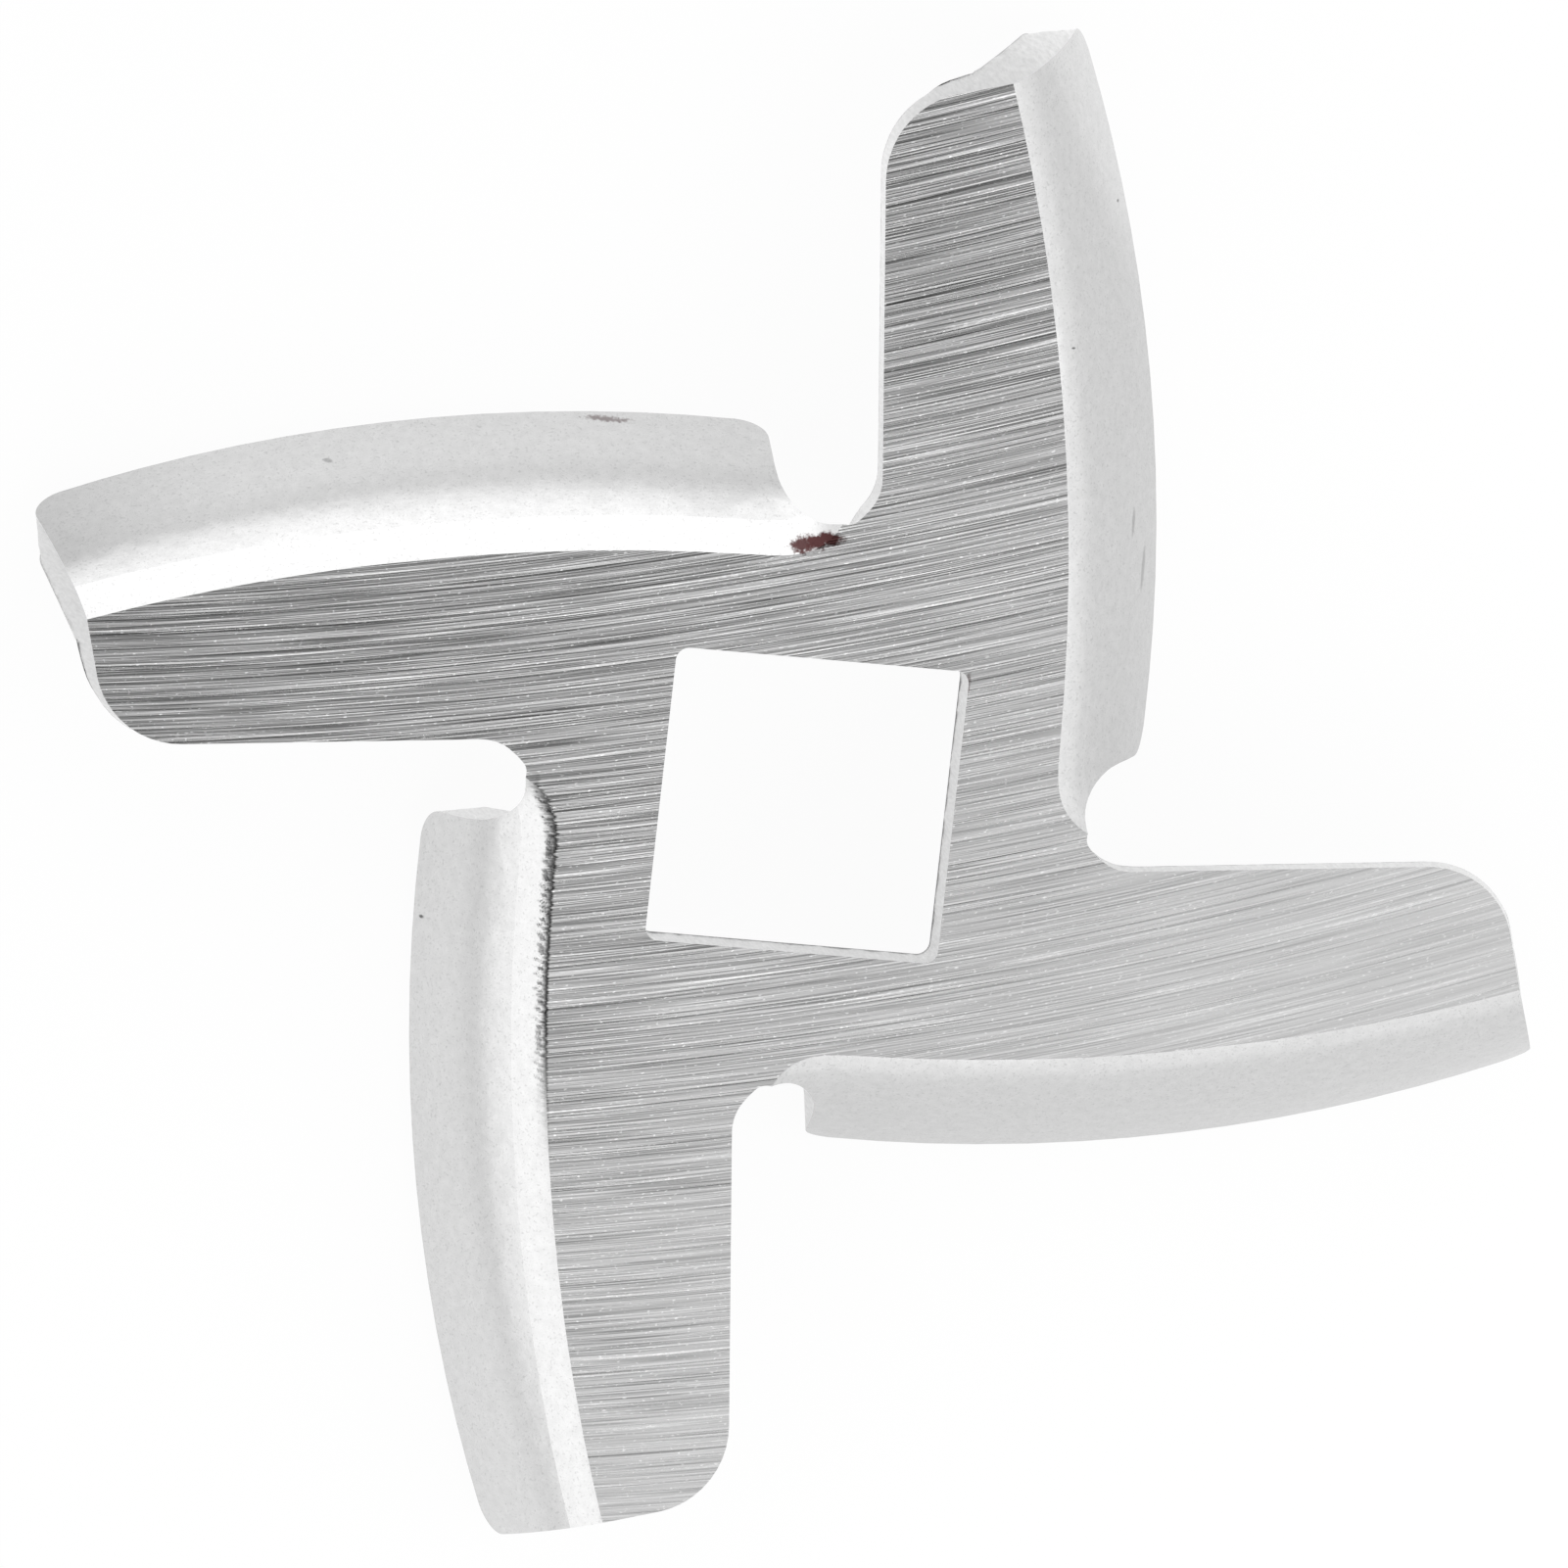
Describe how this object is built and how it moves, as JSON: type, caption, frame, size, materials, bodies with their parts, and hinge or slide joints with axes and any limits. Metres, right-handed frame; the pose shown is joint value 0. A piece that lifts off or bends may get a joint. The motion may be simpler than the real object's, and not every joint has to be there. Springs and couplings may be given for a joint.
{
  "type": "meat grinder knife",
  "caption": "Cross-shaped meat grinder knife pressed from steel sheet, with a flat ground cutting face, arms whose other sides are bent down into curved wings, and a square drive hole.",
  "frame": {"origin": "on the drive hole's axis, in the plane on which the lips of the wings stand", "axes": "+Z out of the ground cutting face, X and Y along the sides of the square hole"},
  "size_m": [0.0528, 0.0528, 0.006],
  "materials": {
    "steel": "flat face ground with fine parallel lines, wings tumbled to a satin"
  },
  "bodies": {
    "root": {"knife": "steel"}
  },
  "joints": []
}
